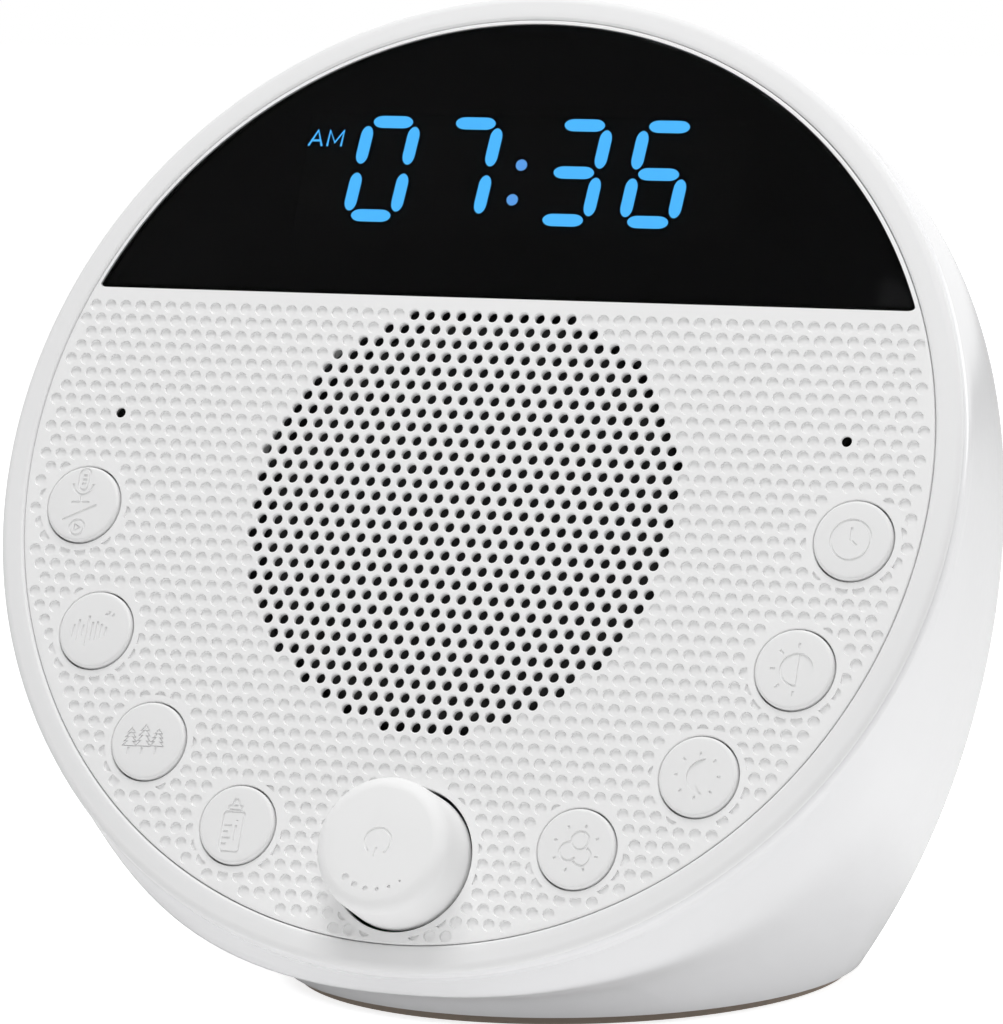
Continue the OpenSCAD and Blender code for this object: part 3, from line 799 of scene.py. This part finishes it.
class OBJECT_OT_sm_panel(PieceOperator, bpy.types.Operator):
    """Makes the perforated panel: holes over the speaker and dimples everywhere else"""

    bl_idname = "object.sm_panel"
    bl_label = "Panel"

    # How far the holes' cutters reach behind the panel and in front of it
    through = 4 * MM
    proud = 0.2 * MM

    def execute(self, context):
        face = context.scene.sm_face
        grille = context.scene.sm_grille
        buttons = context.scene.sm_buttons
        edge = 0.2 * MM
        soft = 0.12 * MM
        panel = turned(
            "perforated_panel",
            [(face.panel_radius, -face.panel_wall)]
            + arc(face.panel_radius - edge, -edge, edge, 0, 90, 4),
            steps=256,
        )
        self.lens_seat(panel, face)
        for x, y in button_places():
            self.bore(panel, x, y, buttons.radius + buttons.gap, soft)
        self.bore(panel, 0, -face.knob_offset, buttons.knob_radius + buttons.knob_gap, soft)
        self.pocket(panel, face, grille)
        microphones = [(side * grille.microphone_x, grille.microphone_y) for side in (-1, 1)]
        clear = grille.pitch * 0.6
        points = [p for p in lattice() if all(math.dist(p, m) > clear for m in microphones)]
        middle = (0, -grille.drop)
        holes = [p for p in points if math.dist(p, middle) < grille.field]
        r, rim = grille.radius, grille.rim
        back = r + grille.flare
        hole = [(back, -self.through), (back, -face.grille_wall), (r, -rim)]
        hole += [(r + 0.3 * rim, -0.4 * rim), (r + rim, 0), (r + rim, self.proud)]
        open_one = turned("hole", hole, steps=14)
        carve(panel, copies(open_one, holes, "holes"))
        bpy.data.objects.remove(open_one)
        for x, y in microphones:
            self.pinhole(panel, x, y, grille)
        limit = face.panel_radius - grille.margin
        bare = [(spot, buttons.radius + buttons.gap + grille.collar) for spot in button_places()]
        bare.append(((0, -face.knob_offset), buttons.knob_radius + buttons.knob_gap + grille.collar))
        shallow = [
            p for p in points
            if math.dist(p, middle) >= grille.field and math.hypot(*p) < limit
            and all(math.dist(p, spot) > radius - grille.sliver for spot, radius in bare)
        ]
        r, low = grille.dimple_radius, -grille.dimple_depth
        mouth = r + 0.07 * MM
        shallow_one = turned("dimple", [(r * 0.96, low), (mouth, 0), (mouth, self.proud)], steps=12)
        pegs = copies(shallow_one, shallow, "dimples")
        bpy.data.objects.remove(shallow_one)
        for (x, y), radius in bare:
            self.collar(pegs, x, y, radius)
        inside = face.panel_radius - edge - 0.1 * MM
        carve(pegs, turned("inside", [(inside, -MM), (inside, MM)], steps=256), "INTERSECT")
        carve(panel, pegs)
        smooth(panel, 40)
        on_face(panel)
        finished(panel, "root", "face_white", face_white(), "grille_panel")
        return {"FINISHED"}

    def lens_seat(self, panel, face):
        """The lens's recess, and the opening behind it inside a ledge."""
        corner, ledge = face.lens_corner, face.window_ledge
        radius, edge = face.lens_radius, face.lens_edge
        carve(panel, lens_prism("recess", radius, edge, corner, -face.lens_wall, MM))
        opening = lens_prism("window", radius - ledge, edge + ledge, corner, -self.through, MM)
        carve(panel, opening)

    def pocket(self, panel, face, grille):
        """Thins the panel's back in front of the speaker, up to the lens's seat."""
        wide = grille.field + grille.radius + 0.2 * MM
        pocket = turned("pocket", [(wide, -5 * MM), (wide, -face.grille_wall)], steps=128)
        place(pocket, Matrix.Translation((0, -grille.drop, 0)))
        edge_y = face.lens_edge - MM
        block = [(-wide, edge_y), (wide, edge_y), (wide, edge_y + wide), (-wide, edge_y + wide)]
        carve(pocket, prism("seat", block, -6 * MM, 0))
        carve(panel, pocket)

    def pinhole(self, panel, x, y, grille):
        """A microphone's hole, which opens into its seat behind."""
        r, seat = grille.radius, grille.microphone_seat
        mouth = r + 0.1 * MM
        profile = [(seat, -self.through), (seat, -0.9 * MM), (r, -0.3 * MM), (r, -0.1 * MM)]
        cutter = turned("pinhole", profile + [(mouth, 0), (mouth, MM)], steps=32)
        carve_at(panel, cutter, x, y)

    def bore(self, panel, x, y, radius, soft):
        """A round way through the panel with a softened mouth."""
        mouth = radius + soft
        profile = [(radius, -5 * MM), (radius, -soft), (radius + soft * 0.4, -soft * 0.3)]
        cutter = turned("bore", profile + [(mouth, 0), (mouth, MM)], steps=96)
        carve_at(panel, cutter, x, y)

    def collar(self, pegs, x, y, radius):
        """Trims the dimples' cutters off a plain ring."""
        cutter = turned("collar", [(radius, -3 * MM), (radius, 3 * MM)], steps=64)
        carve_at(pegs, cutter, x, y)


class OBJECT_OT_sm_lens(PieceOperator, bpy.types.Operator):
    """Makes the smoked display lens"""

    bl_idname = "object.sm_lens"
    bl_label = "Lens"

    def execute(self, context):
        face = context.scene.sm_face
        skin = face.print_wall
        front_edge = 0.25 * MM
        tray = self.slab("lens_print", face.lens_gap, -face.lens_wall, -front_edge)
        carve(tray, self.slab("tray", face.lens_gap + skin, -face.lens_wall + skin, MM))
        half = face.window_half_width
        low, high = face.window_low, face.window_high
        window = [(-half, low), (half, low), (half, high), (-half, high)]
        carve(tray, prism("window", window, -2 * MM, MM))
        smooth(tray, 30)
        on_face(tray)
        finished(tray, "root", "mask_black", print_black(), "lens_mask")
        inset = skin * 1.2
        lens = self.slab("smoked_lens", face.lens_gap + inset, -face.lens_wall + inset, 0)
        select_where(lens, "EDGE", lambda co, e: all(v.co.z > -1e-6 for v in e.verts))
        bpy.ops.mesh.bevel(offset=front_edge, segments=3, affect="EDGES")
        smooth(lens, 30)
        on_face(lens)
        finished(lens, "root", "lens_black", smoked_lens(), "display_lens")
        return {"FINISHED"}

    def slab(self, name, gap, low, high):
        """The lens's outline, inside its seat by a gap."""
        face = bpy.context.scene.sm_face
        radius, edge = face.lens_radius - gap, face.lens_edge + gap
        return lens_prism(name, radius, edge, face.lens_corner, low, high)


def rays(x, y, near, far, angles):
    """Short strokes that stand round a middle."""
    turns = [math.radians(a) for a in angles]
    return [[(x + r * math.cos(t), y + r * math.sin(t)) for r in (near, far)] for t in turns]


def pine(x, top, foot, half):
    """A pine's outline in four tiers, with its trunk."""
    drop = (top - foot) / 4
    side = [(0, top)]
    for tier in range(1, 5):
        side.append((half * (0.4 + 0.15 * tier), top - drop * tier))
        if tier < 4:
            side.append((half * 0.14 * tier, top - drop * tier))
    right = [(x + dx, y) for dx, y in side]
    left = [(x - dx, y) for dx, y in reversed(side)]
    return [left + right[1:] + [left[0]], [(x - 0.06, foot - 0.15), (x - 0.06, foot - 1.1)]]


def symbol(name):
    """The strokes and the sunk areas of a cap's symbol, in millimetres about its middle."""
    if name == "record":
        pill = arc(-0.27, 4.05, 0.74, 0, 180, 12) + arc(-0.27, 2.62, 0.74, 180, 360, 12)
        bars = [[(-0.55, y), (0.02, y)] for y in (3.88, 3.32, 2.76)]
        stand = [arc(-0.3, 2.72, 1.45, 180, 360), [(-0.31, 1.2), (-0.31, 0.3)]]
        base = [(-1.6, 0.2), (1.0, 0.26)]
        slash = [(-2.5, -2.3), (2.1, -0.1)]
        play = [(-0.5, -2.85), (0.3, -3.27), (-0.5, -3.7), (-0.5, -2.85)]
        player = [arc(-0.2, -3.28, 1.05, 0, 360), play]
        return [pill + pill[:1]] + bars + stand + [base, slash] + player, []
    if name == "nature":
        tops = (0.54, 1.23, 0.57, 1.82, 0.99, 1.11, 0.8, 0.44)
        feet = (-1.15, -1.64, -0.95, -2.31, -1.53, -1.5, -1.2, -0.82)
        columns = [-3.0 + 0.66 * k for k in range(len(tops))]
        bars = [[(x, top), (x, foot)] for x, top, foot in zip(columns, tops, feet)]
        sprout = [[(1.23, 2.25), (1.56, 1.96)], [(1.8, 2.54), (1.71, 2.01)], [(2.5, 2.23), (2.2, 1.85)]]
        return bars + sprout, []
    if name == "forest":
        pines = ((-2.42, 1.5, -0.85, 1.0), (-0.5, 2.0, -0.8, 1.05), (1.45, 1.5, -0.7, 1.0))
        return [line for one in pines for line in pine(*one)], []
    if name == "lullaby":
        body = [(-1.6, 1.6), (0.8, 1.6), (1.0, 1.35), (1.0, -3.3), (0.75, -3.6)]
        body += [(-1.5, -3.6), (-1.8, -3.3), (-1.8, 1.35), (-1.6, 1.6)]
        cap = [(-1.35, 1.9), (-1.35, 2.45), (0.5, 2.45), (0.5, 1.9), (-1.35, 1.9)]
        teat = [(-0.9, 2.5), (-0.72, 2.95), (-0.6, 3.3), (-0.25, 3.3), (-0.12, 2.95), (0.05, 2.5)]
        ends = ((-0.2, -0.5), (-1.03, -0.95), (-1.85, -0.5), (-2.63, -0.95))
        marks = [[(-1.6, y), (end, y)] for y, end in ends]
        shine = [[(0.07, -0.1), (0.07, -2.15)], [(0.1, 0.45), (0.1, 0.55)]]
        return [body, cap, teat] + marks + shine, []
    if name == "colour":
        petals = [arc(0.5, 1.05, 1.15, 0, 360)]
        petals += [arc(-0.85, -0.4, 1.2, 82, 322), arc(0.95, -0.95, 1.2, -148, 64)]
        return petals + rays(0.1, 0.0, 2.75, 3.2, range(27, 360, 45)), []
    if name == "night":
        moon = arc(0.85, 0, 2.3, 92, 268, 28) + arc(2.75, 0, 2.95, 229, 131, 28)
        return rays(0, 0.05, 2.6, 3.05, range(0, 360, 45)), [moon]
    if name == "dimmer":
        half = arc(0.36, -0.08, 2.0, -86, 86, 24)
        sun = [arc(0.36, -0.08, 2.05, 0, 360, 40)]
        return sun + rays(0.36, -0.08, 2.75, 3.45, range(90, 271, 45)), [half]
    hands = [[(-0.25, 0), (-0.25, 1.65)], [(-0.25, 0), (0.62, -0.7)]]
    return [arc(-0.22, 0.0, 2.62, 0, 360, 48)] + hands, []


def sink(piece, strokes, areas, height, width, depth):
    """Sinks a symbol's strokes and areas, in millimetres, into a piece's flat top."""
    lift = width * width / (8 * depth) - depth / 2
    for line in strokes:
        path = [(x * MM, y * MM) for x, y in line]
        carve(piece, stroke("symbol_stroke", path, height + lift, lift + depth))
    for outline in areas:
        path = [(x * MM, y * MM) for x, y in outline]
        carve(piece, prism("symbol_area", path, height - depth, height + MM))


class OBJECT_OT_sm_sign(PieceOperator, bpy.types.Operator):
    """Makes the small lit sign of the clock's half day"""

    bl_idname = "object.sm_sign"
    bl_label = "Half day sign"

    def execute(self, context):
        face = context.scene.sm_face
        left, foot, tall, slant = -30.9, 44.6, 2.2, 0.07
        lines = (
            [(0, 0), (0.95, tall), (1.9, 0)],
            [(0.35, 0.75), (1.55, 0.75)],
            [(2.7, 0), (2.7, tall), (3.7, 0.5), (4.7, tall), (4.7, 0)],
        )
        parts = []
        for line in lines:
            path = [((left + x + slant * y) * MM, (foot + y) * MM) for x, y in line]
            parts.append(stroke("lit_sign", path, -face.lens_wall - 0.1 * MM, 0.15 * MM))
        deselect()
        for part in parts:
            part.select_set(True)
        context.view_layer.objects.active = parts[0]
        bpy.ops.object.join()
        sign = parts[0]
        smooth(sign, 50)
        on_face(sign)
        finished(sign, "root", "segment_blue", lit_blue())
        return {"FINISHED"}


class OBJECT_OT_sm_buttons(PieceOperator, bpy.types.Operator):
    """Turns the eight caps and sinks their symbols"""

    bl_idname = "object.sm_buttons"
    bl_label = "Buttons"

    def execute(self, context):
        sizes = context.scene.sm_buttons
        soft = 0.45 * MM
        flange = 0.9 * MM
        foot = -context.scene.sm_face.panel_wall - 0.1 * MM
        wide = sizes.radius + flange
        profile = [(wide, foot - flange), (wide, foot), (sizes.radius, foot)]
        profile += arc(sizes.radius - soft, sizes.rise - soft, soft, 0, 90, 6)
        for name, (x, y) in zip(BUTTONS, button_places()):
            cap = turned("cap_" + name, profile, steps=96)
            sink(cap, *symbol(name), sizes.rise, sizes.engraving, sizes.engraving_depth)
            smooth(cap, 40)
            on_face(cap, x, y)
            finished(cap, name + "_key", "button_white", button_white(), "button_" + name)
        return {"FINISHED"}


class OBJECT_OT_sm_knob(PieceOperator, bpy.types.Operator):
    """Turns the volume knob and sinks its symbols"""

    bl_idname = "object.sm_knob"
    bl_label = "Knob"

    # Radii of the six dots, the radius of their row, their depth, and their angles in degrees
    dots = (0.5 * MM, 0.42 * MM, 0.34 * MM, 0.27 * MM, 0.21 * MM, 0.16 * MM)
    dots_ring = 5.95 * MM
    dots_depth = 0.28 * MM
    dots_start = -128.5
    dots_step = 15.44

    def execute(self, context):
        sizes = context.scene.sm_buttons
        radius = sizes.knob_radius
        height = sizes.knob_height
        edge = sizes.knob_edge
        soft = 0.2 * MM
        foot = -1.2 * MM
        profile = [(radius - 1.4 * MM, foot), (radius - soft, foot), (radius, foot + soft)]
        profile += arc(radius - soft - edge, height - edge, edge, 0, 84, 12)
        knob = turned("dial_knob", profile, steps=128)
        power = [arc(-0.12, 0.17, 1.75, -55, 228, 32), [(-0.2, -0.55), (-0.32, -1.85)]]
        sink(knob, power, [], height, sizes.engraving, sizes.engraving_depth)
        for k, r in enumerate(self.dots):
            turn = math.radians(self.dots_start + self.dots_step * k)
            dot = turned("dot", [(r, height - self.dots_depth), (r, height + MM)], steps=20)
            carve_at(knob, dot, self.dots_ring * math.cos(turn), self.dots_ring * math.sin(turn))
        smooth(knob, 40)
        on_face(knob, 0, -context.scene.sm_face.knob_offset)
        finished(knob, "knob_turn", "knob_white", knob_white(), "volume_knob")
        return {"FINISHED"}


class OBJECT_OT_sm_pad(PieceOperator, bpy.types.Operator):
    """Makes the soft pad under the foot"""

    bl_idname = "object.sm_pad"
    bl_label = "Foot pad"

    def execute(self, context):
        sizes = context.scene.sm_housing
        loft = Loft(sizes)
        points = 128
        pad = disc("soft_pad", points)
        for i, vertex in enumerate(pad.data.vertices):
            edge = loft.point(1, i / points, sizes.pad_inset)
            vertex.co = (edge.x, edge.y, 0)
        bpy.ops.object.mode_set(mode="EDIT")
        raise_all(sizes.pad_wall)
        bpy.ops.mesh.select_all(action="SELECT")
        bpy.ops.mesh.normals_make_consistent(inside=False)
        select_where(pad, "EDGE", lambda co, e: abs(e.verts[0].co.z - e.verts[1].co.z) < 1e-6)
        bpy.ops.mesh.bevel(offset=0.35 * MM, segments=3, affect="EDGES")
        smooth(pad, 40)
        finished(pad, "root", "pad_tan", pad_tan(), "foot_pad")
        return {"FINISHED"}


class OBJECT_OT_sm_finishes(PieceOperator, bpy.types.Operator):
    """Gives every remaining piece of the frame its finish"""

    bl_idname = "object.sm_finishes"
    bl_label = "Inner finishes"

    def execute(self, context):
        slots = {material["slot"]: material for material in frame["record"]["materials"]}
        for sub in frame["record"]["subparts"]:
            node = frame["nodes"][sub["node"]]
            node.data.materials.clear()
            node.data.materials.append(self.finish(slots[sub["material_slot"]]))
        return {"FINISHED"}

    def finish(self, slot):
        """The finish of one of the frame's material slots."""
        name, kind = slot["slot"], slot["class"]
        colour = slot["base_color"][:3]
        if name == "segment_blue":
            return lit_blue()
        if name == "module_black":
            return plastic("reflector_black", (0.005, 0.005, 0.005), 0.7, Specular_IOR_Level=0.1)
        if name == "capsule_metal":
            return plastic("capsule_felt", (0.01, 0.01, 0.01), 0.95, grain=2000.0, bump=0.4)
        if kind in ("brushed_steel", "aluminium", "chrome"):
            return metal("inner_" + name, colour, 0.35)
        roughness = {"gloss_plastic": 0.2, "rubber": 0.75, "fabric": 0.9}.get(kind, 0.5)
        return plastic("inner_" + name, colour, roughness, grain=3000.0)


class SCENE_OT_sm_stage(bpy.types.Operator):
    """Sets the camera, the lights and the plain floor"""

    bl_idname = "scene.sm_stage"
    bl_label = "Stage"

    # The camera's place from the face's centre, its directions and its focal length in mm
    eye = (0.27984, -0.65582, 0.07392)
    across = (0.92223, 0.38665, 0.0)
    sight = (-0.38427, 0.91659, -0.11043)
    focal_length = 196.71

    # Light of the room on the object, and the floor's tone and glow
    room = 0.35
    floor_tone = 0.8
    floor_glow = 0.75
    floor_bounce = 0.28

    def execute(self, context):
        self.camera(context)
        self.floor()
        self.lights(context)
        context.scene.view_settings.view_transform = "Standard"
        return {"FINISHED"}

    def camera(self, context):
        """The camera stands in front, to the right and a little above."""
        right = Vector(self.across).normalized()
        forward = Vector(self.sight).normalized()
        up = right.cross(forward)
        bpy.ops.object.camera_add()
        camera = context.object
        camera.name = "stage_camera"
        turn = Matrix((right, up, -forward)).transposed().to_4x4()
        eye = face_matrix().translation + Vector(self.eye)
        camera.matrix_world = Matrix.Translation(eye) @ turn
        camera.data.sensor_fit = "VERTICAL"
        camera.data.sensor_height = 36.0
        camera.data.lens = self.focal_length
        camera.data.clip_start = 0.01
        camera.data.clip_end = 20
        context.scene.camera = camera

    def floor(self):
        """A pale floor that shows white to the camera and keeps the shadow."""
        deselect()
        bpy.ops.mesh.primitive_plane_add(size=8, location=(0, 0, 0))
        floor = added("stage_floor")
        material = bpy.data.materials.new("stage_floor")
        material.use_nodes = True
        nodes = material.node_tree.nodes
        links = material.node_tree.links
        nodes.clear()
        matte = nodes.new("ShaderNodeBsdfDiffuse")
        matte.inputs["Color"].default_value = (*[self.floor_tone] * 3, 1)
        glow = nodes.new("ShaderNodeEmission")
        paths = nodes.new("ShaderNodeLightPath")
        tree = material.node_tree
        seen, diffuse = paths.outputs["Is Camera Ray"], paths.outputs["Is Diffuse Ray"]
        bounce = math_node(tree, "MULTIPLY", diffuse, self.floor_bounce)
        strength = math_node(tree, "MULTIPLY_ADD", seen, self.floor_glow, bounce)
        links.new(strength, glow.inputs["Strength"])
        both = nodes.new("ShaderNodeAddShader")
        links.new(matte.outputs[0], both.inputs[0])
        links.new(glow.outputs[0], both.inputs[1])
        leave = nodes.new("ShaderNodeOutputMaterial")
        links.new(both.outputs[0], leave.inputs["Surface"])
        floor.data.materials.append(material)

    def lights(self, context):
        """A soft white room with large lamps above, in front and at the right."""
        world = bpy.data.worlds.new("stage_room")
        world.use_nodes = True
        context.scene.world = world
        nodes = world.node_tree.nodes
        links = world.node_tree.links
        back = nodes["Background"]
        paths = nodes.new("ShaderNodeLightPath")
        seen = paths.outputs["Is Camera Ray"]
        for kind in ("Is Glossy Ray", "Is Transmission Ray"):
            seen = math_node(world.node_tree, "MAXIMUM", seen, paths.outputs[kind])
        level = math_node(world.node_tree, "MULTIPLY_ADD", seen, 1 - self.room, self.room)
        links.new(level, back.inputs["Strength"])
        back.inputs["Color"].default_value = (1, 1, 1, 1)
        self.lamp("lamp_above", (0.0, -0.1, 1.2), (0, 0, 0.07), 0.6, 8.4)
        self.lamp("lamp_front", (0.35, -0.8, 1.0), (0, 0, 0.07), 0.5, 2.0)
        self.lamp("lamp_right", (0.8, 0.75, 0.4), (0, 0, 0.06), 0.5, 3.2)

    def lamp(self, name, eye, target, width, watts):
        """A square area lamp that looks at a point."""
        bpy.ops.object.light_add(type="AREA", location=eye)
        lamp = bpy.context.object
        lamp.name = name
        lamp.rotation_euler = (Vector(target) - Vector(eye)).to_track_quat("-Z", "Y").to_euler()
        lamp.data.shape = "SQUARE"
        lamp.data.size = width
        lamp.data.energy = watts


class VIEW3D_PT_sound_machine(bpy.types.Panel):
    """Lists the pieces and their sizes"""

    bl_idname = "VIEW3D_PT_sound_machine"
    bl_label = "Sound machine"
    bl_space_type = "VIEW_3D"
    bl_region_type = "UI"
    bl_category = "Sound machine"

    def draw(self, context):
        for operator in STEPS:
            self.layout.operator(operator.bl_idname)
        for name, group in GROUPS.items():
            box = self.layout.box()
            for key in group.__annotations__:
                box.prop(getattr(context.scene, name), key)


STEPS = (
    SCENE_OT_sm_stage,
    OBJECT_OT_sm_finishes,
    OBJECT_OT_sm_housing,
    OBJECT_OT_sm_bezel,
    OBJECT_OT_sm_panel,
    OBJECT_OT_sm_lens,
    OBJECT_OT_sm_sign,
    OBJECT_OT_sm_buttons,
    OBJECT_OT_sm_knob,
    OBJECT_OT_sm_pad,
)


def register():
    for name, group in GROUPS.items():
        bpy.utils.register_class(group)
        setattr(bpy.types.Scene, name, bpy.props.PointerProperty(type=group))
    for operator in STEPS:
        bpy.utils.register_class(operator)
    bpy.utils.register_class(VIEW3D_PT_sound_machine)


def unregister():
    bpy.utils.unregister_class(VIEW3D_PT_sound_machine)
    for operator in reversed(STEPS):
        bpy.utils.unregister_class(operator)
    for name, group in GROUPS.items():
        delattr(bpy.types.Scene, name)
        bpy.utils.unregister_class(group)


def main():
    register()
    for operator in STEPS:
        area, name = operator.bl_idname.split(".")
        getattr(getattr(bpy.ops, area), name)()


if __name__ == "__main__":
    main()
